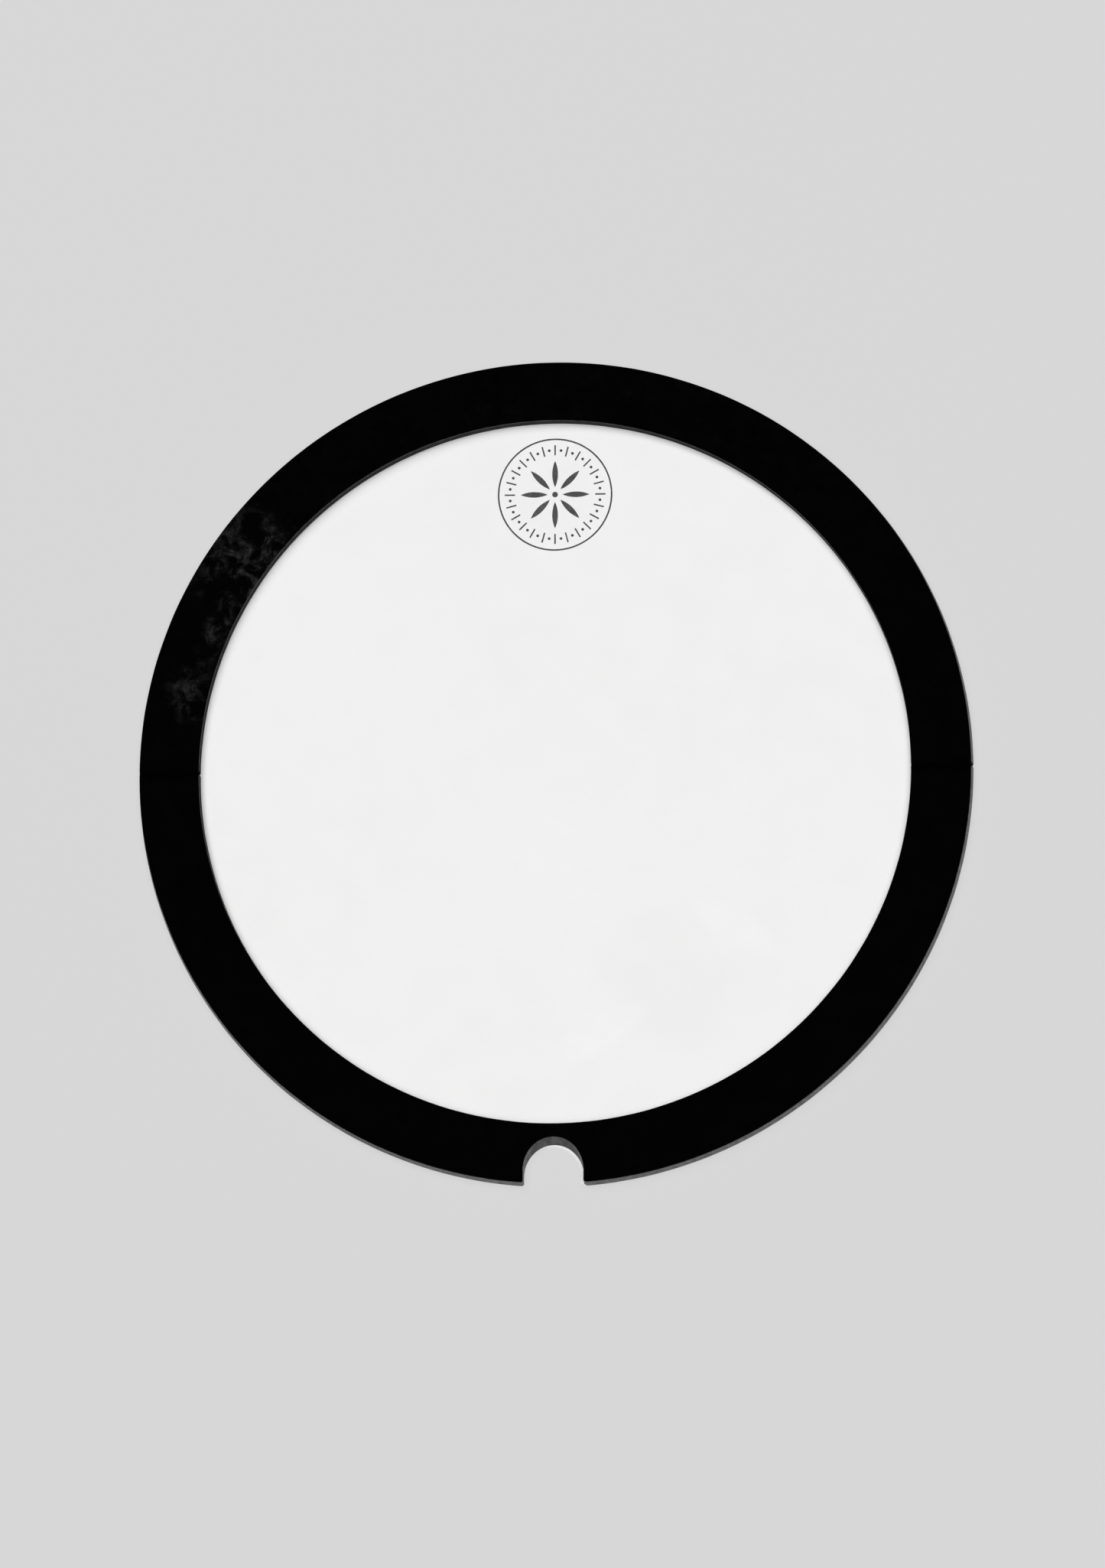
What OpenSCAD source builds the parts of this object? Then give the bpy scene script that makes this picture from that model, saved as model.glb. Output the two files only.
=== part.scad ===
// Drop-on muffling overlay for a 14 inch snare drum.
// A heavy rubber ring, die-cut as two half rings, is bonded on top of a white drumhead film.
// A finger notch at -Y lets the player lift the overlay out of the drum's hoop.
// Millimetres. The film's underside lies on z = 0, and the ring's axis is the Z axis.

/* [Overlay] */
// Outside diameter of the rubber ring, the drum's nominal 14 inches
overlay_d = 355.6; // [254:0.1:406.4]
// Width of the rubber ring, seen from above
ring_w = 26.4; // [22.5:0.1:36]
// Thickness of the rubber sheet, nominal 1/4 inch
ring_t = 6.35; // [3:0.05:9.5]

/* [Film] */
// Thickness of the drumhead film
film_t = 0.25; // [0.15:0.01:0.5]
// Distance of the film's edge inside the rubber's outer edge
film_inset = 0.4; // [0.2:0.1:1]
// Thickness of the adhesive between the rubber and the film
bond_t = 0.15; // [0.1:0.01:0.3]
// Distance of the adhesive's edge inside the rubber's edges
bond_inset = 0.8; // [0.6:0.1:2]

/* [Half ring joint] */
// Gap between the two half rings
seam_gap = 0.2; // [0.1:0.05:0.5]
// Size of the clipped corner at each end of a half ring
corner_clip = 0.75; // [0.3:0.05:1.5]

/* [Finger notch] */
// Width of the notch in the rubber's top face
notch_w = 25.4; // [18:0.1:26]
// Depth of the notch in the rubber's top face, from the outer edge
notch_depth = 20.6; // [15:0.1:21]
// Lean of the cut through the rubber, which brings its end closer to the rim at the underside
notch_lean = 24; // [0:1:26]
// Width of the film's own notch
film_notch_w = 24; // [17:0.1:25]
// Depth of the film's own notch, from the rubber's outer edge
film_notch_depth = 17; // [13:0.1:18]
// Sideways offset of the film's own notch
film_notch_x = -0.7; // [-1:0.1:1]

/* [Printed badge] */
// Outside diameter of the round ornament printed on the film
badge_d = 49.2; // [30:0.2:60]
// Distance from the rubber's inner edge to the ornament
badge_gap = 6.4; // [3:0.1:20]
// Width of the ornament's outer line
badge_line = 0.7; // [0.3:0.05:1.2]
// Thickness of the ink
ink_t = 0.04; // [0.02:0.01:0.08]
// Number of petals in the ornament's middle
petals = 8; // [5:1:10]
// Number of dashes in the ornament's band, with a dot between each two
dashes = 24; // [12:1:26]

/* [Hidden] */
$fn = 180;
past = 1; // how far a cutting body runs past the faces that it cuts
outer_r = overlay_d / 2;
inner_r = outer_r - ring_w;
bond_z = film_t;
ring_z = film_t + bond_t;
badge_r = badge_d / 2;
badge_y = inner_r - badge_gap - badge_r;
dash_l = 0.18 * badge_r;
dash_w = 0.026 * badge_r;
band_r = 0.79 * badge_r;
dot_r = 0.025 * badge_r;
petal_in = 0.13 * badge_r;
petal_out = 0.6 * badge_r;
petal_w = 0.1 * badge_r;

// A U-shaped cut of straight walls: a round end at depth, open past the outer edge.
module u_cut(w, depth, x = 0) {
    end_y = -(outer_r - depth) - w / 2;
    translate([x, end_y]) circle(r = w / 2);
    translate([x - w / 2, -outer_r - past]) square([w, end_y + outer_r + past]);
}

// The half of a flat ring on one side of the X axis: side is 1 for +Y and -1 for -Y.
module half_ring(r_in, r_out, gap, side) {
    difference() {
        circle(r = r_out);
        circle(r = r_in);
        translate([-r_out - past, side > 0 ? -r_out - past : -gap / 2])
            square([2 * (r_out + past), r_out + past + gap / 2]);
    }
}

// Square cuts, turned by 45 degrees, that clip the corners where the half rings meet.
module corner_clips() {
    for (x = [-outer_r, -inner_r, inner_r, outer_r])
        translate([x, 0]) rotate(45) square(corner_clip * sqrt(2), center = true);
}

module rubber_half(side) {
    translate([0, 0, ring_z])
        linear_extrude(ring_t)
            difference() {
                half_ring(inner_r, outer_r, seam_gap, side);
                corner_clips();
            }
}

// The cut for a finger through the rubber, made by a U-shaped punch that leans about the X axis.
module leaning_cut() {
    punch_l = 4 * ring_t + 2 * notch_w;
    end_r = notch_w / 2;
    end_y = -(outer_r - notch_depth) - end_r / cos(notch_lean);
    translate([0, end_y, ring_z + ring_t]) rotate([-notch_lean, 0, 0]) {
        cylinder(r = end_r, h = punch_l, center = true);
        translate([-end_r, -2 * notch_depth, -punch_l / 2]) cube([notch_w, 2 * notch_depth, punch_l]);
    }
}

module upper_ring_half() {
    color("#0d0d0d") rubber_half(1);
}

module lower_ring_half() {
    color("#0d0d0d") difference() {
        rubber_half(-1);
        leaning_cut();
    }
}

module bond(side) {
    translate([0, 0, bond_z])
        linear_extrude(bond_t)
            difference() {
                half_ring(inner_r + bond_inset, outer_r - bond_inset, 2 * bond_inset, side);
                if (side < 0) u_cut(notch_w + bond_inset, notch_depth + bond_inset / 2);
            }
}

module upper_bond() {
    color("#b9a879") bond(1);
}

module lower_bond() {
    color("#b9a879") bond(-1);
}

module drumhead_film() {
    color("#f0f0ee") linear_extrude(film_t)
        difference() {
            circle(r = outer_r - film_inset);
            u_cut(film_notch_w, film_notch_depth, film_notch_x);
        }
}

// A leaf with two pointed ends, lying along Y.
module leaf(from, to, w) {
    l = to - from;
    arc_r = (l * l + w * w) / (4 * w);
    translate([0, (from + to) / 2])
        intersection_for(side = [-1, 1])
            translate([side * (arc_r - w / 2), 0]) circle(r = arc_r);
}

module outer_line() {
    difference() {
        circle(r = badge_r);
        circle(r = badge_r - badge_line);
    }
}

module printed_badge() {
    color("#484848") translate([0, badge_y, film_t]) linear_extrude(ink_t) {
        outer_line();
        for (i = [0 : dashes - 1]) {
            rotate(360 * i / dashes) translate([0, band_r]) square([dash_w, dash_l], center = true);
            rotate(360 * (i + 0.5) / dashes) translate([0, band_r]) circle(r = dot_r);
        }
        for (i = [0 : petals - 1]) rotate(360 * i / petals) leaf(petal_in, petal_out, petal_w);
        circle(r = 2 * dot_r);
    }
}

upper_ring_half();
lower_ring_half();
upper_bond();
lower_bond();
drumhead_film();
printed_badge();
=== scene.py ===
import math

import bpy
from mathutils import Matrix, Vector, noise
from mathutils.geometry import delaunay_2d_cdt


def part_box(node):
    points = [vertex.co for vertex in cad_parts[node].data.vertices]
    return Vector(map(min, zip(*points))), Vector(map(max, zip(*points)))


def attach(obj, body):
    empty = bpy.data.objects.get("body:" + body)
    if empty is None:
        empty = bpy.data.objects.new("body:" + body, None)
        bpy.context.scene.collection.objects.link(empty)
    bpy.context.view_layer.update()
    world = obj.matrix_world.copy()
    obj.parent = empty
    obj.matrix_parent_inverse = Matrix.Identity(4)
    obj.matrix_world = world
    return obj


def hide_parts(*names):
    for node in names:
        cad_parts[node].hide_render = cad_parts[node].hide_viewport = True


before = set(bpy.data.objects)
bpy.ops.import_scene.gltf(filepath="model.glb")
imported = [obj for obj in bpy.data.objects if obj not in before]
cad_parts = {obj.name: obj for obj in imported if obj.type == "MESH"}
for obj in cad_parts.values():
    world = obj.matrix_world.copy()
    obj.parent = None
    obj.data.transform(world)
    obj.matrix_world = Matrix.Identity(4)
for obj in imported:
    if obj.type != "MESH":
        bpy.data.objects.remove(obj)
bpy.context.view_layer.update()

MM = 0.001

# ---------------------------------------------------------------- sizes, from the frame
ring_lo, ring_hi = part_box("upper_ring_half")
OUTER_R = ring_hi[0]
RING_Z0, RING_Z1 = ring_lo[2], ring_hi[2]
FILM_R, _, FILM_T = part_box("drumhead_film")[1]
badge_lo, badge_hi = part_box("printed_badge")
BADGE_Y = (badge_lo[1] + badge_hi[1]) / 2
BADGE_R = (badge_hi[0] - badge_lo[0]) / 2

# The same driving dimensions as the CAD model's, where the boxes don't give them
RING_W = 26.4 * MM
INNER_R = OUTER_R - RING_W
NOTCH_W, NOTCH_DEPTH, NOTCH_LEAN = 25.4 * MM, 20.6 * MM, math.radians(24)
FILM_NOTCH_W, FILM_NOTCH_DEPTH, FILM_NOTCH_X = 24 * MM, 17 * MM, -0.7 * MM

# Spacing of the points along the outlines, on the whole and in a notch
OUTLINE_STEP, NOTCH_STEP = 1.0 * MM, 0.6 * MM
# How much smaller the rim's radius is at the top face than at its foot
RIM_TAPER = 0.8 * MM
# Waviness of the cuts through the rubber
CUT_WAVE = 0.05 * MM
# The share of an edge's rounding that is left along the seam, and how far from the seam it is whole again
SEAM_ROUNDING, SEAM_REACH = 0.12, 5 * MM
# Width of the ornament's outer line, and how far the ink reaches above and below the film's face
BADGE_LINE, INK_T = 0.7 * MM, 0.02 * MM

# Soft marks, each as (x, y, direction in degrees, half length, half width) in millimetres
CREASE_BY_PRINT = (17, -114, 31, 24, 7)
CREASE_AT_RIGHT = (76, -67, -31, 20, 7)
# The film is painted darker over this rise as painted shade
RISE_WITH_PAINTED_SHADE = (50, -90, -45, 34, 26)
BULGE = (-62, 40, 70, 70, 30)
DUST_TRAIL = (-143, 64, 66, 30, 8)
# How high the film ripples at its marks, in millimetres
RIPPLES = [(CREASE_BY_PRINT, 0.25), (CREASE_AT_RIGHT, 0.25), (RISE_WITH_PAINTED_SHADE, 0.2), (BULGE, 0.12)]
# Round patches of dust on the upper half, each as (x, y, radius of its even middle, radius, share)
DUST_PATCHES = [(-131, 91, 6, 32, 1.0), (-153, 34, 3, 18, 0.9)]

# ---------------------------------------------------------------- camera
CAMERA_TILT = math.radians(11)
CAMERA_TURN = math.radians(22.6)
CAMERA_ROLL = math.radians(-0.3)
CAMERA_AWAY = 3.0
# The share of the picture's width that the ring would take if it were seen from straight above
RING_SHARE = 0.7585
FRAME_W, FRAME_H = 1445, 2050
AIM_RIGHT, AIM_UP = -0.5 * MM, -6.5 * MM


def camera():
    """A long lens almost straight above the overlay, leaning towards the notch and a little to the right."""
    data = bpy.data.cameras.new("camera")
    data.sensor_width = 36
    across = 2 * OUTER_R / RING_SHARE
    data.lens = data.sensor_width * CAMERA_AWAY / (across * FRAME_H / FRAME_W)
    data.clip_end = 50
    cam = bpy.data.objects.new("camera", data)
    lean = math.sin(CAMERA_TILT)
    back = Vector((lean * math.sin(CAMERA_TURN), -lean * math.cos(CAMERA_TURN), math.cos(CAMERA_TILT)))
    # The picture is turned halfway between the turn that keeps +Y upright and the one that keeps +X level
    up = (Vector((0, 1, 0)) - back * back.y).normalized()
    right = (Vector((1, 0, 0)) - back * back.x).normalized()
    up = (up + back.cross(right)).normalized()
    right = up.cross(back)
    aim = Vector((0, 0, RING_Z1)) + right * AIM_RIGHT + up * AIM_UP
    turn = Matrix((right, up, back)).transposed().to_4x4() @ Matrix.Rotation(CAMERA_ROLL, 4, "Z")
    cam.matrix_world = Matrix.Translation(aim + back * CAMERA_AWAY) @ turn
    bpy.context.collection.objects.link(cam)
    bpy.context.scene.camera = cam


# ---------------------------------------------------------------- small node helpers
class Nodes:
    """A material's node tree, with one short call for each kind of node that the materials use."""

    def __init__(self, name):
        self.material = bpy.data.materials.new(name)
        self.material.use_nodes = True
        self.tree = self.material.node_tree
        self.shader = self.tree.nodes["Principled BSDF"]
        self.place = self.tree.nodes.new("ShaderNodeTexCoord").outputs["Object"]
        self.facing = self.tree.nodes.new("ShaderNodeNewGeometry").outputs["True Normal"]

    def put(self, value, socket):
        if hasattr(value, "node"):
            self.tree.links.new(value, socket)
        else:
            socket.default_value = value

    def add(self, kind, out, values=(), **settings):
        node = self.tree.nodes.new(kind)
        for key, value in settings.items():
            setattr(node, key, value)
        for key, value in dict(values).items():
            self.put(value, node.inputs[key])
        return node.outputs[out]

    def math(self, operation, a, b=0.0, c=0.0):
        return self.add("ShaderNodeMath", 0, {0: a, 1: b, 2: c}, operation=operation)

    def split(self, vector, axis):
        return self.add("ShaderNodeSeparateXYZ", axis, {0: vector})

    def vector_math(self, operation, a, b=(0, 0, 0), out="Value"):
        return self.add("ShaderNodeVectorMath", out, {0: a, 1: b}, operation=operation)

    def distance(self, x, y):
        return self.vector_math("DISTANCE", self.place, (x, y, 0))

    def radius(self):
        return self.vector_math("LENGTH", self.stretched(1, 1, 0))

    def stretched(self, x, y, z):
        return self.vector_math("MULTIPLY", self.place, (x, y, z), "Vector")

    def noise(self, scale, detail=3.0, roughness=0.55, distortion=0.0, vector=None):
        values = {"Vector": vector or self.place, "Scale": scale, "Detail": detail}
        values.update({"Roughness": roughness, "Distortion": distortion})
        return self.add("ShaderNodeTexNoise", 0, values)

    def cells(self, scale):
        return self.add("ShaderNodeTexVoronoi", "Distance", {"Vector": self.place, "Scale": scale})

    def spot(self, mark, more_l=0, more_w=0):
        """1 in the middle of a mark, an oval, and 0 outside it. Its two half sizes can be made larger."""
        x, y, turn, half_l, half_w = mark
        t = math.radians(turn)
        c, s = math.cos(t), math.sin(t)
        total = 0.0
        for ax, ay, half in ((c, s, half_l + more_l), (-s, c, half_w + more_w)):
            along = self.vector_math("DOT_PRODUCT", self.place, (ax, ay, 0))
            share = self.math("MULTIPLY_ADD", along, 1 / (half * MM), -(x * ax + y * ay) / half)
            total = self.math("MULTIPLY_ADD", share, share, total)
        return self.ramp(total, 0.0, 1.0, 1.0, 0.0)

    def ramp(self, value, low, high, to_low=0.0, to_high=1.0):
        values = {0: value, 1: low, 2: high, 3: to_low, 4: to_high}
        return self.add("ShaderNodeMapRange", 0, values, interpolation_type="SMOOTHSTEP")

    def mix(self, share, a, b):
        node = self.tree.nodes.new("ShaderNodeMix")
        node.data_type = "RGBA"
        self.put(share, node.inputs["Factor"])
        self.put(a, node.inputs[6])
        self.put(b, node.inputs[7])
        return node.outputs[2]

    def bump(self, height, distance, normal=None):
        values = {"Height": height, "Distance": distance, "Strength": 1.0}
        if normal is not None:
            values["Normal"] = normal
        return self.add("ShaderNodeBump", 0, values)

    def set(self, **inputs):
        for key, value in inputs.items():
            self.put(value, self.shader.inputs[key.replace("_", " ")])
        return self.material


def grey(level, warm=0.0):
    return (level * (1 + warm), level, level * (1 - warm), 1)


# ---------------------------------------------------------------- materials
def dust_cover(n):
    """Where talc dust lies: a thin veil towards +Y, and round patches and a trail at the upper left."""
    where = n.ramp(n.split(n.place, 1), 70 * MM, 165 * MM, 0.01, 0.03)
    for x, y, even, reach, share in DUST_PATCHES:
        patch = n.ramp(n.distance(x * MM, y * MM), even * MM, reach * MM, share, 0.0)
        where = n.math("MAXIMUM", where, patch)
    return n.math("MAXIMUM", where, n.math("MULTIPLY", n.spot(DUST_TRAIL), 0.6))


def rubber(name, dust_level):
    """Matte black sheet rubber: fine grain, talc dust on its face, and striped die-cut walls. The outer and
    leaning walls are paler partly from the cut and partly as painted light, and the inner wall is dark as
    painted shade.
    """
    n = Nodes(name)
    flat = n.math("ABSOLUTE", n.split(n.facing, 2))
    face = n.ramp(flat, 0.6, 0.95)
    cloud = n.ramp(n.noise(120, 8, 0.68, 0.6), 0.44, 0.7)
    specks = n.ramp(n.noise(520, 5, 0.6), 0.42, 0.66)
    dust = n.math("MULTIPLY", cloud, dust_cover(n))
    dust = n.math("MULTIPLY", dust, n.math("MULTIPLY_ADD", specks, 0.6, 0.4))
    dust = n.math("MULTIPLY", dust, dust_level)
    black = n.mix(n.noise(160, 4), grey(0.0001), grey(0.0007))
    face_color = n.mix(dust, black, grey(0.042, 0.02))
    stripes = n.noise(420, 5, 0.65, 0.0, n.stretched(1.0, 1.0, 0.3))
    # Lit and shaded copies of one die-cut wall: the outer wall palest and the leaning notch wall paler,
    # partly from the cut and partly as painted light; the inner wall dark as painted shade
    outer_wall_with_painted_light = n.mix(n.ramp(stripes, 0.3, 0.75), grey(0.21), grey(0.34))
    leaning_wall_with_painted_light = n.mix(n.ramp(stripes, 0.3, 0.75), grey(0.1), grey(0.19))
    inner_wall_painted_shade = n.mix(stripes, grey(0.02), grey(0.07))
    at_inner = n.ramp(n.radius(), INNER_R + 0.5 * MM, INNER_R + 2 * MM, 1.0, 0.0)
    upright_wall = n.mix(at_inner, outer_wall_with_painted_light, inner_wall_painted_shade)
    wall_color = n.mix(n.ramp(flat, 0.14, 0.32), upright_wall, leaning_wall_with_painted_light)
    seam = n.ramp(n.math("ABSOLUTE", n.split(n.place, 1)), 0.5 * MM, 1.6 * MM, 1.0, 0.0)
    color = n.mix(n.math("MAXIMUM", face, seam), wall_color, face_color)
    grain = n.math("ADD", n.noise(1500, 3, 0.6), n.math("MULTIPLY", n.cells(520), 0.5))
    stripe_bump = n.bump(n.math("MULTIPLY", stripes, n.math("SUBTRACT", 1.0, face)), 0.12 * MM)
    normal = n.bump(grain, 0.035 * MM, stripe_bump)
    rough = n.ramp(n.noise(90, 5), 0.3, 0.7, 0.5, 0.64)
    return n.set(Base_Color=color, Roughness=rough, Specular_IOR_Level=0.004, Normal=normal)


def coated_film():
    """White drumhead film: a sprayed, sandy coating above, and below the ring's band showing through.
    Painted shade darkens it over the rise at the lower right, and painted highlight streaks run along the
    two creases.
    """
    n = Nodes("coated_film")
    under = n.ramp(n.split(n.facing, 2), -0.6, 0.0, 1.0, 0.0)
    band = n.math("MULTIPLY", n.ramp(n.radius(), INNER_R - 1 * MM, INNER_R + 1.5 * MM), under)
    clouds = n.ramp(n.noise(9, 4, 0.5), 0.3, 0.7)
    white = n.mix(clouds, grey(0.828, 0.002), grey(0.842, 0.001))
    # Painted shade: the film's white is painted darker over the rise at the lower right
    white = n.mix(n.spot(RISE_WITH_PAINTED_SHADE, 12, 10), white, grey(0.818, 0.002))
    # Painted highlight: paler streaks painted along the two creases, where the film would catch the light
    painted_highlight_streaks = n.math("MAXIMUM", n.spot(CREASE_BY_PRINT, 6, 2), n.spot(CREASE_AT_RIGHT, 6, 2))
    white = n.mix(n.math("MULTIPLY", painted_highlight_streaks, n.ramp(n.noise(60, 4), 0.3, 0.65)), white, grey(0.862, 0.001))
    pores = n.ramp(n.noise(2400, 2, 0.7), 0.28, 0.36)
    white = n.mix(pores, grey(0.78, 0.003), white)
    scuff = n.ramp(n.noise(46, 7, 0.7, 1.2, n.stretched(1.0, 0.35, 1.0)), 0.62, 0.8)
    white = n.mix(n.math("MULTIPLY", scuff, n.math("MULTIPLY", under, 0.5)), white, grey(0.62, 0.01))
    color = n.mix(n.math("MULTIPLY", band, 0.8), white, grey(0.56, 0.004))
    sand = n.math("ADD", n.noise(1900, 4, 0.65), n.math("MULTIPLY", n.cells(900), 0.6))
    normal = n.bump(n.math("MULTIPLY", sand, n.ramp(under, 0, 1, 1.0, 0.2)), 0.014 * MM)
    rough = n.ramp(n.noise(60, 4), 0.3, 0.7, 0.36, 0.42)
    return n.set(Base_Color=color, Roughness=rough, Specular_IOR_Level=0.3, Normal=normal)


def printed_ink():
    """Thin grey-black print, a little uneven and broken by the coating's grain."""
    n = Nodes("printed_ink")
    wear = n.ramp(n.noise(1600, 4, 0.7), 0.36, 0.6)
    tone = n.mix(n.noise(240, 3), grey(0.024), grey(0.036))
    color = n.mix(wear, grey(0.058), tone)
    normal = n.bump(n.noise(1900, 4, 0.65), 0.015 * MM)
    rough = n.ramp(n.noise(300, 3), 0.3, 0.7, 0.42, 0.58)
    return n.set(Base_Color=color, Roughness=rough, Specular_IOR_Level=0.25, Normal=normal)


def adhesive():
    """Glossy, slightly amber transfer adhesive with trapped air."""
    n = Nodes("adhesive")
    air = n.ramp(n.cells(330), 0.1, 0.3, 1.0, 0.0)
    amber = n.mix(n.noise(70, 4), (0.42, 0.36, 0.24, 1), (0.55, 0.49, 0.35, 1))
    color = n.mix(n.math("MULTIPLY", air, 0.6), amber, (0.72, 0.69, 0.6, 1))
    normal = n.bump(n.noise(700, 3), 0.03 * MM)
    rough = n.ramp(n.noise(120, 3), 0.3, 0.7, 0.16, 0.32)
    return n.set(Base_Color=color, Roughness=rough, Normal=normal)


# ---------------------------------------------------------------- outlines
def arc(x, y, r, start, end, step):
    """Points along an arc, in degrees, its end left out."""
    count = max(2, round(abs(math.radians(end - start)) * r / step))
    turns = [math.radians(start + (end - start) * i / count) for i in range(count)]
    return [Vector((x + r * math.cos(t), y + r * math.sin(t))) for t in turns]


def line(a, b, step):
    """Points along a straight line, its end left out."""
    a, b = Vector(a), Vector(b)
    count = max(1, round((b - a).length / step))
    return [a.lerp(b, i / count) for i in range(count)]


def rounded(points, corners):
    """The closed outline with each corner in corners, as (point, radius), replaced by an arc."""
    for corner, radius in corners:
        corner = Vector(corner)
        near = min(range(len(points)), key=lambda i: (points[i] - corner).length)
        points = points[near:] + points[:near]
        keep = [p for p in points[1:] if (p - corner).length > 2.2 * radius]
        a, b = (keep[-1] - corner).normalized(), (keep[0] - corner).normalized()
        half = a.angle(b) / 2
        centre = corner + (a + b).normalized() * radius / math.sin(half)
        back, ahead = a * radius / math.tan(half), b * radius / math.tan(half)
        start = math.degrees(math.atan2(*reversed(corner + back - centre)))
        sweep = math.degrees((corner + back - centre).angle_signed(corner + ahead - centre))
        points = arc(*centre, radius, start, start - sweep, radius / 4) + [corner + ahead] + keep
    return points


def bearing(point):
    """The direction of a point from the axis, from 0 to 360 degrees."""
    return math.degrees(math.atan2(point.y, point.x)) % 360


def notch_path(outer_r, width, depth, x=0.0, lean=0.0):
    """Up one wall of a U-shaped notch in the rim, round its end and down the other.

    depth is measured from the rubber's rim. A punch that leans leaves an end that is longer than it is wide.
    """
    r = width / 2
    stretch = 1 / math.cos(lean)
    centre_y = -(OUTER_R - depth) - r * stretch
    left = Vector((x - r, -math.sqrt(outer_r**2 - (x - r) ** 2)))
    right = Vector((x + r, -math.sqrt(outer_r**2 - (x + r) ** 2)))
    end = arc(x, centre_y, r, 180, 0, NOTCH_STEP)
    path = line(left, (x - r, centre_y), NOTCH_STEP)
    path += [Vector((p.x, centre_y + (p.y - centre_y) * stretch)) for p in end]
    path += line((x + r, centre_y), right, NOTCH_STEP)
    return path, left, right


def half_outline(side):
    """The outline of one half ring, turning left round it. side is 1 for +Y and -1 for -Y.

    The halves touch along the seam, on the X axis.
    """
    corners = [((sx * r, 0), 1.0 * MM) for sx in (-1, 1) for r in (OUTER_R, INNER_R)]
    if side > 0:
        points = arc(0, 0, OUTER_R, 0, 180, OUTLINE_STEP)
        points += line((-OUTER_R, 0), (-INNER_R, 0), OUTLINE_STEP)
        points += arc(0, 0, INNER_R, 180, 0, OUTLINE_STEP)
        points += line((INNER_R, 0), (OUTER_R, 0), OUTLINE_STEP)
        return rounded(points, corners)
    path, left, right = notch_path(OUTER_R, NOTCH_W, NOTCH_DEPTH, lean=NOTCH_LEAN)
    points = arc(0, 0, OUTER_R, 180, bearing(left), OUTLINE_STEP) + path
    points += arc(0, 0, OUTER_R, bearing(right), 360, OUTLINE_STEP)
    points += line((OUTER_R, 0), (INNER_R, 0), OUTLINE_STEP)
    points += arc(0, 0, INNER_R, 360, 180, OUTLINE_STEP)
    points += line((-INNER_R, 0), (-OUTER_R, 0), OUTLINE_STEP)
    return rounded(points, corners + [(left, 1.0 * MM), (right, 1.5 * MM)])


def film_outline():
    path, left, right = notch_path(FILM_R, FILM_NOTCH_W, FILM_NOTCH_DEPTH, FILM_NOTCH_X)
    points = path + arc(0, 0, FILM_R, bearing(right) - 360, bearing(left), OUTLINE_STEP)
    return rounded(points, [(left, 0.6 * MM), (right, 0.6 * MM)])


def outward(points):
    """The unit vector out of the outline at each of its points."""
    count = len(points)
    found = []
    for i in range(count):
        along = (points[(i + 1) % count] - points[i - 1]).normalized()
        found.append(Vector((along.y, -along.x)))
    return found


# ---------------------------------------------------------------- meshes
def new_piece(name, vertices, faces, material, smooth=True):
    mesh = bpy.data.meshes.new(name)
    mesh.from_pydata(vertices, [], faces)
    mesh.validate()
    mesh.update()
    for face in mesh.polygons:
        face.use_smooth = smooth
    mesh.materials.append(material)
    piece = bpy.data.objects.new(name, mesh)
    bpy.context.collection.objects.link(piece)
    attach(piece, "root")
    return piece


def inner_grid(spacing, inside):
    """Points on rings about the axis, spaced evenly, that lie inside."""
    points = []
    for ring in range(1, int(OUTER_R / spacing) + 1):
        r = ring * spacing
        count = max(6, round(2 * math.pi * ring))
        for i in range(count):
            turn = 2 * math.pi * (i + 0.5 * (ring % 2)) / count
            p = Vector((r * math.cos(turn), r * math.sin(turn)))
            if inside(p):
                points.append(p)
    return points


def cap(outline, filling):
    """Triangles that fill the outline through the filling points, as indices into outline + filling."""
    count = len(outline)
    found = delaunay_2d_cdt(outline + filling, [], [list(range(count))], 1, 1e-9)
    vertices, faces, origins = found[0], found[2], found[3]
    names = [o[0] if o else None for o in origins]
    if None in names or len(vertices) != count + len(filling):
        raise RuntimeError("the cap's outline crosses itself")
    return [[names[i] for i in face] for face in faces]


def sheet_solid(outline, levels, edge, filling, place):
    """A closed sheet with a shaped edge.

    levels lists (height, inset) from the underside up. edge(point, out, height, inset) moves a point of the
    outline, where out is the unit vector out of it. place turns (x, y, z) into the final vertex.
    """
    out = outward(outline)
    count = len(outline)
    vertices, faces = [], []
    loops = [[edge(p, o, z, inset) for p, o in zip(outline, out)] for z, inset in levels]
    for (z, _), loop in zip(levels, loops):
        vertices += [place(p.x, p.y, z) for p in loop]
    for level in range(len(levels) - 1):
        a, b = level * count, (level + 1) * count
        for i in range(count):
            j = (i + 1) % count
            faces.append((a + i, a + j, b + j, b + i))
    for level, turn in ((0, -1), (len(levels) - 1, 1)):
        start = len(vertices)
        vertices += [place(p.x, p.y, levels[level][0]) for p in filling]
        for face in cap(loops[level], filling):
            ids = [level * count + i if i < count else start + i - count for i in face]
            faces.append(tuple(ids[::turn]))
    return vertices, faces


def edge_levels(z0, z1, round_low, round_top, hollow, steps=5):
    """Heights and insets of a die-cut edge: rounded at both faces and slightly hollow between."""
    levels = []
    for k in range(steps):
        t = math.radians(90 * k / steps)
        levels.append((z0 + round_low * (1 - math.cos(t)), round_low * (1 - math.sin(t))))
    low, top = z0 + round_low, z1 - round_top
    for k in range(steps + 1):
        t = k / steps
        levels.append((low + (top - low) * t, hollow * math.sin(math.pi * t)))
    for k in range(1, steps + 1):
        t = math.radians(90 * k / steps)
        levels.append((top + round_top * math.sin(t), round_top * (1 - math.cos(t))))
    return levels


def smooth(share):
    """0 up to 0 and 1 from 1 on, with a smooth step between."""
    share = max(0.0, min(1.0, share))
    return share * share * (3 - 2 * share)


def thickness_wave(x, y, seed):
    """How the rubber sheet's thickness varies from place to place, as a share of it."""
    return 0.010 * (noise.noise(Vector((x * 22, y * 22, seed))) - 0.5) - 0.004


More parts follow.
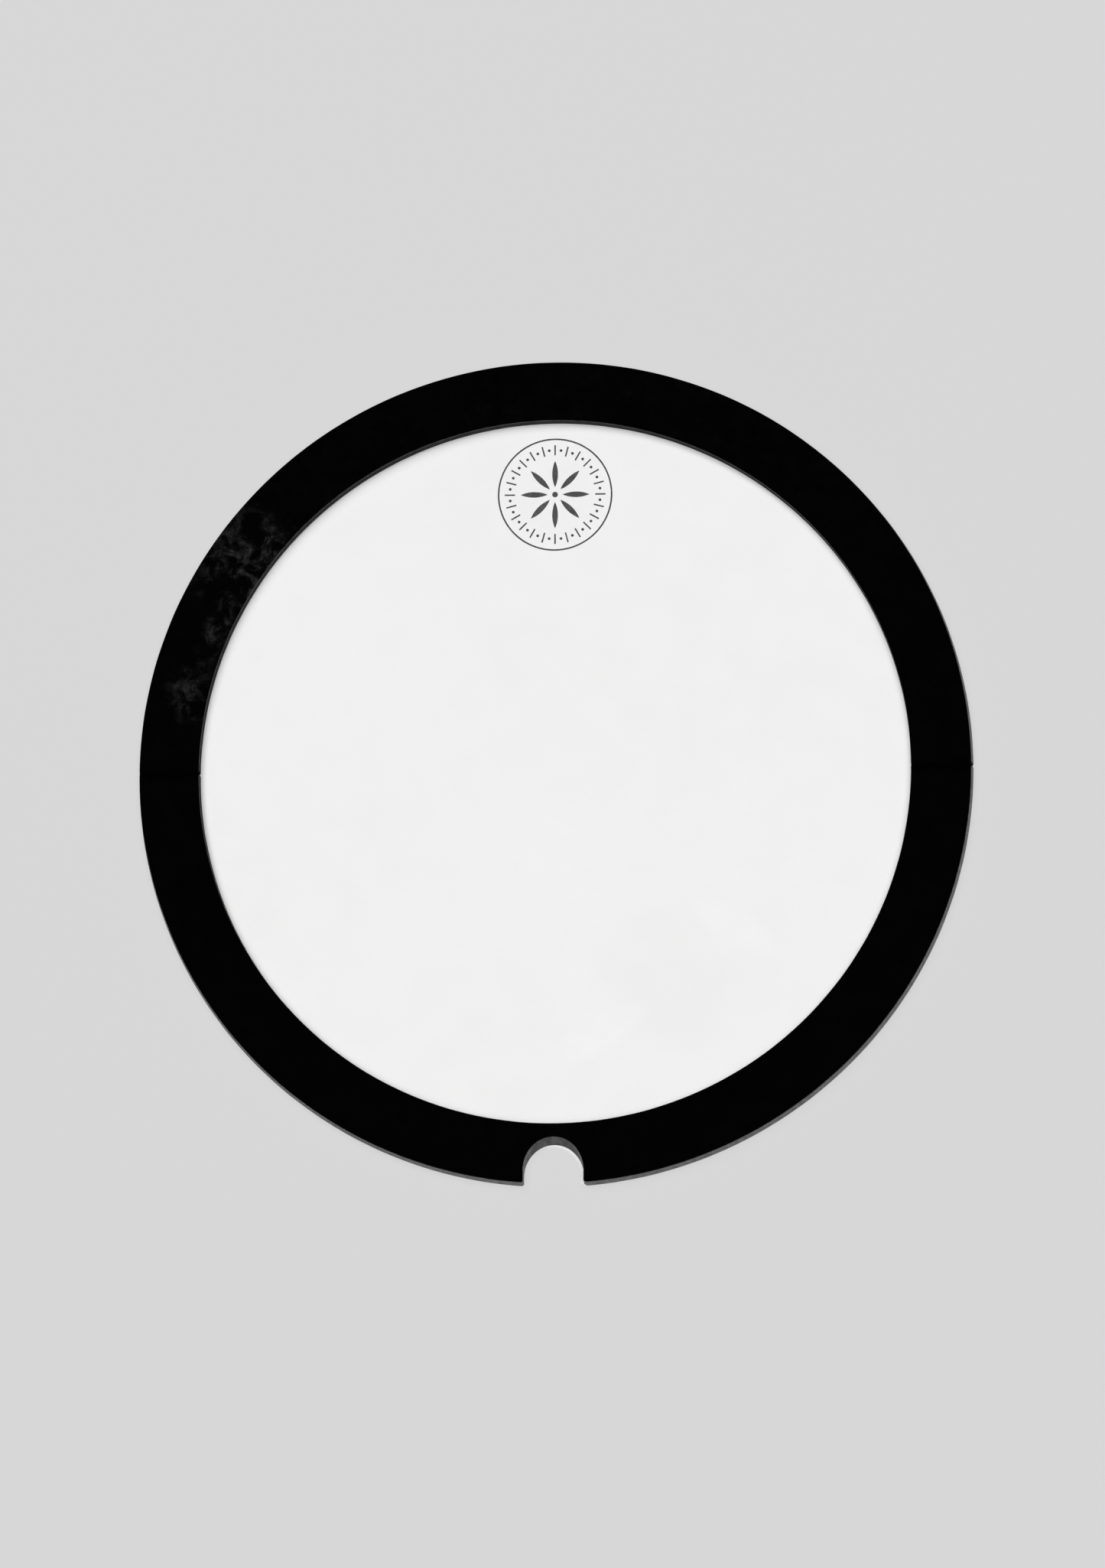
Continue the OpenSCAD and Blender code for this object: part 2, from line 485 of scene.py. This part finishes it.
def ring_half(name, node, side, material):
    outline = half_outline(side)
    margin = 2.2 * MM
    centre_y = -(OUTER_R - NOTCH_DEPTH) - NOTCH_W / 2 / math.cos(NOTCH_LEAN)

    def near_notch(p):
        reach = NOTCH_W / 2 + margin
        return side < 0 and p.y < centre_y + reach + 1 * MM and abs(p.x) < reach

    def inside(p):
        in_ring = INNER_R + margin < p.length < OUTER_R - margin
        return in_ring and side * p.y > margin and not near_notch(p)

    def edge(p, out, z, inset):
        # The halves stay square at the seam: only the part of out along the radius keeps its whole inset
        off_seam = SEAM_ROUNDING + (1 - SEAM_ROUNDING) * smooth(abs(p.y) / SEAM_REACH)
        radius = p.normalized()
        radial = radius * out.dot(radius)
        inset -= CUT_WAVE * (noise.noise(Vector((p.x * 90, p.y * 90, z * 60 + 7 * side))) - 0.5)
        q = p - radial * inset - (out - radial) * inset * off_seam
        at_rim = smooth((p.length - OUTER_R) / (3 * MM) + 1)
        q -= radius * RIM_TAPER * at_rim * (z - RING_Z0) / (RING_Z1 - RING_Z0)
        # The notch's wall leans, from nothing at its mouth to the whole lean at its end
        if side < 0 and abs(p.x) < NOTCH_W / 2 + 0.1 * MM and p.length > INNER_R + 1 * MM:
            held = smooth((p.y + OUTER_R) / (centre_y + OUTER_R))
            q.y -= held * (RING_Z1 - z) * math.tan(NOTCH_LEAN)
        return q

    def place(x, y, z):
        return (x, y, z + (z - RING_Z0) * thickness_wave(x, y, 3.0 * side))

    levels = edge_levels(RING_Z0, RING_Z1, round_low=0.15 * MM, round_top=0.3 * MM, hollow=0.1 * MM)
    vertices, faces = sheet_solid(outline, levels, edge, inner_grid(4 * MM, inside), place)
    piece = new_piece(name, vertices, faces, material)
    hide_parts(node)


def film_rise(x, y):
    """How high the film stands over the flat: nothing under the ring, soft ripples inside it."""
    r = math.hypot(x, y)
    free = smooth((INNER_R - 4 * MM - r) / (14 * MM))
    rise = 0.05 * MM * (noise.noise(Vector((x * 14, y * 14, 5.0))) + 0.6)
    for (cx, cy, turn, half_l, half_w), height in RIPPLES:
        dx, dy = x / MM - cx, y / MM - cy
        c, s = math.cos(math.radians(turn)), math.sin(math.radians(turn))
        along, across = (dx * c + dy * s) / half_l, (dy * c - dx * s) / half_w
        rise += height * MM * math.exp(-(along**2) - across**2)
    return free * rise


def film(material):
    outline = film_outline()
    centre_y = -(OUTER_R - FILM_NOTCH_DEPTH) - FILM_NOTCH_W / 2
    margin = 1.6 * MM

    def inside(p):
        q = p - Vector((FILM_NOTCH_X, centre_y))
        reach = FILM_NOTCH_W / 2 + margin
        return p.length < FILM_R - margin and q.length > reach and not (abs(q.x) < reach and q.y < 0)

    def edge(p, out, z, inset):
        return p - out * inset

    def place(x, y, z):
        return (x, y, z + film_rise(x, y))

    levels = edge_levels(0.0, FILM_T, round_low=0.05 * MM, round_top=0.05 * MM, hollow=0.0, steps=2)
    vertices, faces = sheet_solid(outline, levels, edge, inner_grid(2.8 * MM, inside), place)
    piece = new_piece("coated_film_disc", vertices, faces, material)
    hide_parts("drumhead_film")


# ---------------------------------------------------------------- print
def ring_strip(r_in, r_out, count):
    """A flat ring as (inner loop, outer loop)."""
    turns = [2 * math.pi * i / count for i in range(count)]
    return [[Vector((r * math.cos(t), r * math.sin(t))) for t in turns] for r in (r_in, r_out)]


def leaf(start, end, width, count=14):
    """A leaf along Y with two pointed ends."""
    length = end - start
    r = (length**2 + width**2) / (4 * width)
    half = math.degrees(math.asin(length / 2 / r))
    middle = (start + end) / 2
    right = arc(width / 2 - r, middle, r, -half, half, length / count)
    left = arc(r - width / 2, middle, r, 180 - half, 180 + half, length / count)
    return right + left


def turned(points, degrees):
    t = math.radians(degrees)
    c, s = math.cos(t), math.sin(t)
    return [Vector((p.x * c - p.y * s, p.x * s + p.y * c)) for p in points]


def print_shapes(petals=8, dashes=24):
    """The closed outlines of the ornament's dashes, dots and petals, about its own centre."""
    dash_w, dash_l = 0.026 * BADGE_R, 0.18 * BADGE_R
    band, dot = 0.79 * BADGE_R, 0.025 * BADGE_R
    dash = [Vector((x * dash_w / 2, band + y * dash_l / 2)) for x, y in ((-1, -1), (1, -1), (1, 1), (-1, 1))]
    shapes = []
    for i in range(dashes):
        shapes.append(turned(dash, 360 * i / dashes))
        shapes.append(turned(arc(0, band, dot, 0, 360, dot / 3), 360 * (i + 0.5) / dashes))
    for i in range(petals):
        shapes.append(turned(leaf(0.13 * BADGE_R, 0.6 * BADGE_R, 0.1 * BADGE_R), 360 * i / petals))
    shapes.append(arc(0, 0, 2 * dot, 0, 360, dot / 3))
    return shapes


def badge(material):
    vertices, faces = [], []

    def loop(points, top):
        start = len(vertices)
        for p in points:
            x, y = p.x, p.y + BADGE_Y
            ragged = 0.03 * MM * noise.noise(Vector((x * 1500, y * 1500, 2.0)))
            z = FILM_T + film_rise(x, y) + (INK_T if top else -INK_T)
            vertices.append((x + ragged, y + ragged, z))
        return list(range(start, len(vertices)))

    def wall(low, high):
        for i in range(len(low)):
            j = (i + 1) % len(low)
            faces.append((low[i], low[j], high[j], high[i]))

    for points in print_shapes():
        low, high = loop(points, False), loop(points, True)
        wall(low, high)
        faces.append(tuple(high))
        faces.append(tuple(reversed(low)))
    inner, outer = ring_strip(BADGE_R - BADGE_LINE, BADGE_R, 240)
    low_in, high_in = loop(inner, False), loop(inner, True)
    low_out, high_out = loop(outer, False), loop(outer, True)
    wall(low_out, high_out)
    wall(high_in, low_in)
    wall(high_out, high_in)
    wall(low_in, low_out)
    piece = new_piece("ornament_print", vertices, faces, material, smooth=False)
    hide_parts("printed_badge")


# ---------------------------------------------------------------- stage
FLOOR_ALBEDO, FLOOR_GLOW = 0.16, 0.526
LIGHTS = 6
LIGHT_AWAY, LIGHT_SIDE, LIGHT_WATTS = 4.5, 2.0, 32.3
LIGHT_DOWN = math.radians(14)
KEY_TURN, KEY_DOWN, KEY_SIDE, KEY_WATTS = math.radians(122), math.radians(32), 1.0, 20
# The room's strength low down and overhead, and the heights of the direction between which it changes
ROOM_LOW, ROOM_TOP = 0.68, 0.03
ROOM_FROM, ROOM_TO = 0.12, 0.5


def soft_box(name, turn, down, side, watts):
    """A square light that faces the origin, turned from +X towards +Y and lowered from the zenith."""
    towards = Vector((math.sin(down) * math.cos(turn), math.sin(down) * math.sin(turn), math.cos(down)))
    data = bpy.data.lights.new(name, "AREA")
    data.size = side
    data.energy = watts
    box = bpy.data.objects.new(name, data)
    box.location = towards * LIGHT_AWAY
    box.rotation_euler = towards.to_track_quat("Z", "Y").to_euler()
    bpy.context.collection.objects.link(box)


def pale_floor():
    """A plain pale floor that glows a little, so that shadows stay faint."""
    half = 12
    z = -0.05 * MM
    corners = [(-half, -half, z), (half, -half, z), (half, half, z), (-half, half, z)]
    mesh = bpy.data.meshes.new("floor")
    mesh.from_pydata(corners, [], [(0, 1, 2, 3)])
    floor = bpy.data.objects.new("floor", mesh)
    bpy.context.collection.objects.link(floor)
    n = Nodes("floor")
    n.set(Base_Color=grey(FLOOR_ALBEDO), Roughness=0.9, Specular_IOR_Level=0.0)
    n.set(Emission_Color=grey(1.0), Emission_Strength=FLOOR_GLOW)
    mesh.materials.append(n.material)


def lights():
    """A ring of soft boxes near the zenith, and a smaller one from the back left."""
    for i in range(LIGHTS):
        soft_box(f"soft_box_{i}", 2 * math.pi * (i + 0.5) / LIGHTS, LIGHT_DOWN, LIGHT_SIDE, LIGHT_WATTS)
    soft_box("key", KEY_TURN, KEY_DOWN, KEY_SIDE, KEY_WATTS)


def room():
    """An even room that is pale round the sides and nearly dark overhead."""
    world = bpy.data.worlds.new("room")
    bpy.context.scene.world = world
    world.use_nodes = True
    tree = world.node_tree
    direction = tree.nodes.new("ShaderNodeTexCoord").outputs["Generated"]
    split = tree.nodes.new("ShaderNodeSeparateXYZ")
    tree.links.new(direction, split.inputs[0])
    ramp = tree.nodes.new("ShaderNodeMapRange")
    ramp.interpolation_type = "SMOOTHSTEP"
    for key, value in enumerate((ROOM_FROM, ROOM_TO, ROOM_LOW, ROOM_TOP), 1):
        ramp.inputs[key].default_value = value
    tree.links.new(split.outputs[2], ramp.inputs[0])
    tree.links.new(ramp.outputs[0], tree.nodes["Background"].inputs["Strength"])
    bpy.context.scene.view_settings.view_transform = "Standard"


# ---------------------------------------------------------------- build
camera()
pale_floor()
lights()
room()
ring_half("upper_rubber_half", "upper_ring_half", 1, rubber("rubber_upper", dust_level=1.0))
ring_half("lower_rubber_half", "lower_ring_half", -1, rubber("rubber_lower", dust_level=0.12))
film(coated_film())
badge(printed_ink())
glue = adhesive()
for node in ("upper_bond", "lower_bond"):
    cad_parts[node].material_slots[0].material = glue
